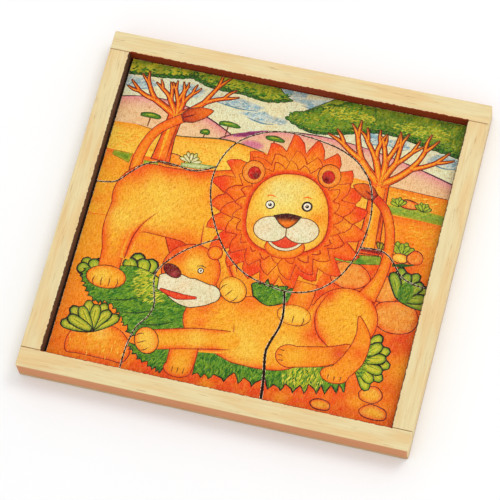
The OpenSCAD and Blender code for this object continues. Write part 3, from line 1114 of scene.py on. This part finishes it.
def edge_material():
    """Sawn plywood: a darker core between two outer plies, and a chipped upper edge."""
    n = Nodes("cut_plywood_edge")
    where = n.add("ShaderNodeTexCoord").outputs["Object"]
    height = n.add("ShaderNodeSeparateXYZ", {0: where}).outputs["Z"]
    low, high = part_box("head_tile")
    share = n.remap(height, low.z, high.z)
    core = n.math("MULTIPLY", n.math("GREATER_THAN", share, CORE[0]), n.math("LESS_THAN", share, CORE[1]))
    grain = n.noise((1.2, 1.2, 4), 4, 0.7)
    outer_ply = n.mix(grain, rgb(170, 128, 84), rgb(128, 88, 56))
    core_ply = n.mix(grain, rgb(120, 80, 50), rgb(84, 52, 34))
    chips = n.remap(n.noise((0.75, 0.75, 0.2), 3, 0.7), 0.47, 0.53)
    chipped = n.mix(chips, rgb(70, 40, 26), rgb(250, 236, 200))
    colour = n.mix(n.math("GREATER_THAN", share, CHIPPED), n.mix(core, outer_ply, core_ply), chipped)
    return n.finish(colour, grain)


def wood_colour(n, stretch, light, dark):
    """Pale wood with long grain. Stretch is the grain's scale along x, y and z."""
    long_grain = n.noise(stretch, 5, 0.65)
    broad = n.noise([max(s * 0.16, 0.03) for s in stretch], 2, 0.5)
    streaks = n.noise([s * 2.1 for s in stretch], 2, 0.5)
    colour = n.mix(n.remap(long_grain, 0.35, 0.7), light, dark)
    colour = n.mix(n.remap(broad, 0.42, 0.62, 0, 0.5), colour, rgb(255, 224, 196), "MULTIPLY")
    return n.mix(n.remap(streaks, 0.67, 0.72, 0, 0.5), colour, rgb(150, 104, 66)), long_grain


SEAM = 0.16 * MM  # half the width of a joint line between two rails
SEAM_START = 0.3 * MM  # how far a joint line starts from the well


def wood_material(name, stretch, well_shade):
    """Rail wood. The last colour given darkens the faces that look into the well and the rounded edge above
    them: painted shade of the well over somewhat darker wood.
    """
    n = Nodes(name)
    colour, grain = wood_colour(n, stretch, rgb(232, 216, 166), rgb(222, 200, 150))
    texture = n.add("ShaderNodeTexCoord").outputs
    parts = n.add("ShaderNodeSeparateXYZ", {0: texture["Object"]}).outputs
    facing = n.add("ShaderNodeSeparateXYZ", {0: texture["Normal"]}).outputs
    # Painted shade: faces square to y, such as the front wall, are painted browner and darker than the top,
    # as they stand in shade.
    front_back_shade = n.mix(grain, rgb(222, 158, 110), rgb(190, 119, 78))
    colour = n.mix(n.remap(n.math("ABSOLUTE", facing["Y"]), 0.6, 0.9), colour, front_back_shade)
    across = n.math("ABSOLUTE", parts["X"])
    along = n.math("ABSOLUTE", parts["Y"])
    well_right = -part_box("left_rail")[1].x
    well_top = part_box("top_rail")[0].y
    # Painted shade of the well: the faces inside it, and the rounded edge above them up to a wandering line,
    # take the dark colour.
    wander = n.remap(n.noise((0.5, 0.5, 0.5), 3, 0.6), 0.35, 0.65, 0.2 * MM, 0.62 * MM)
    inside = n.math("MULTIPLY", n.math("LESS_THAN", across, n.math("ADD", wander, well_right)),
                    n.math("LESS_THAN", along, n.math("ADD", wander, well_top)))
    seam = n.math("LESS_THAN", n.math("ABSOLUTE", n.math("SUBTRACT", along, well_top)), SEAM)
    outside = n.math("GREATER_THAN", across, well_right + SEAM_START)
    colour = n.mix(n.math("MULTIPLY", n.math("MULTIPLY", seam, outside), 0.6), colour, rgb(120, 70, 40))
    colour = n.mix(inside, colour, n.mix(grain, well_shade, well_shade * 0.7))
    n.shader.inputs["Specular IOR Level"].default_value = 0.2
    return n.finish(colour, grain, 0.55, 0.75, (0.25, 0.2 * MM))


def base_material():
    n = Nodes("base_board_wood")
    colour, grain = wood_colour(n, (0.06, 1.2, 1.2), rgb(206, 176, 130), rgb(180, 142, 96))
    place = n.add("ShaderNodeSeparateXYZ", {0: n.add("ShaderNodeTexCoord").outputs["Object"]}).outputs
    # Painted shade: the board's top face, seen only in the gaps around the tiles, is painted dark brown.
    upper = n.math("GREATER_THAN", place["Z"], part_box("base_board")[1].z - 0.1 * MM)
    colour = n.mix(upper, colour, n.mix(grain, rgb(92, 60, 38), rgb(66, 42, 28)))
    return n.finish(colour, grain)


def back_material():
    n = Nodes("tile_back_wood")
    colour, grain = wood_colour(n, (1.1, 0.06, 1.1), rgb(222, 192, 142), rgb(196, 158, 108))
    return n.finish(colour, grain)


def dress_tray():
    # Each rail wood's last colour is the painted shade of the well on its inner faces, darker on the left
    # rail.
    long_wood = wood_material("rail_wood_long", (0.05, 1.1, 1.1), rgb(150, 54, 22))
    side_wood = wood_material("rail_wood_side", (1.1, 0.05, 1.1), rgb(104, 72, 52))
    choices = {"top_rail": long_wood, "bottom_rail": long_wood, "left_rail": side_wood,
               "right_rail": side_wood, "base_board": base_material()}
    for name, material in choices.items():
        mesh = frame["nodes"][name].data
        mesh.materials.clear()
        mesh.materials.append(material)


# ---- floor, light and camera

FLOOR_SIZE = 6
FLOOR_DROP = 0.2 * MM  # how far the floor lies below the tray
ROOM_LIGHT = 0.9  # strength of the even light from all sides
KEY_PLACE = Vector((0.6, 0.8, 1.5))
KEY_SIZE = 0.8
KEY_POWER = 7  # watts


def make_floor():
    bpy.ops.mesh.primitive_plane_add(size=FLOOR_SIZE, location=(0, 0, -FLOOR_DROP))
    floor = bpy.context.object
    floor.name = "floor"
    n = Nodes("floor_paper")
    grain = n.noise((0.02, 0.02, 0.02), 2, 0.5)
    n.link(n.mix(grain, (0.94, 0.94, 0.94), (0.96, 0.96, 0.96)), "Base Color")
    n.shader.inputs["Roughness"].default_value = 0.9
    floor.data.materials.append(n.material)


def make_light():
    """An even white room, and one large lamp behind the tray on the right, aimed at its middle."""
    world = bpy.data.worlds.new("studio")
    world.use_nodes = True
    background = world.node_tree.nodes["Background"]
    background.inputs["Color"].default_value = (1, 1, 1, 1)
    background.inputs["Strength"].default_value = ROOM_LIGHT
    bpy.context.scene.world = world
    data = bpy.data.lights.new("key", "AREA")
    data.shape = "DISK"
    data.size = KEY_SIZE
    data.energy = KEY_POWER
    light = add_object("key", data)
    light.location = KEY_PLACE
    light.rotation_euler = (-KEY_PLACE).to_track_quat("-Z", "Y").to_euler()


CAMERA_PLACE = Vector((0.2169, -0.4901, 1.2842))
CAMERA_AIM = Vector((-0.00103, -0.00872, 0.012))
CAMERA_ROLL = math.radians(10.77)
CAMERA_LENS = 208.3
SENSOR_WIDTH = 36


def make_camera():
    data = bpy.data.cameras.new("camera")
    data.lens = CAMERA_LENS
    data.sensor_width = SENSOR_WIDTH
    data.clip_start = 0.05
    camera = add_object("camera", data)
    look = (CAMERA_AIM - CAMERA_PLACE).normalized()
    level_up = (Vector((0, 0, 1)) - look * look.z).normalized()
    up = level_up * math.cos(CAMERA_ROLL) + look.cross(level_up) * math.sin(CAMERA_ROLL)
    right = look.cross(up)
    turn = Matrix((right, up, -look)).transposed()
    camera.matrix_world = Matrix.Translation(CAMERA_PLACE) @ turn.to_4x4()
    bpy.context.scene.camera = camera


make_camera()
make_light()
make_floor()
dress_tray()
paint_picture()
tile_materials = (print_material(), edge_material(), back_material())
for tile_name in ("sky_tile", "head_tile", "standing_lion_tile", "lying_lion_tile", "rocks_tile"):
    printed_tile(tile_name, tile_materials)
bpy.context.scene.view_settings.view_transform = "Standard"
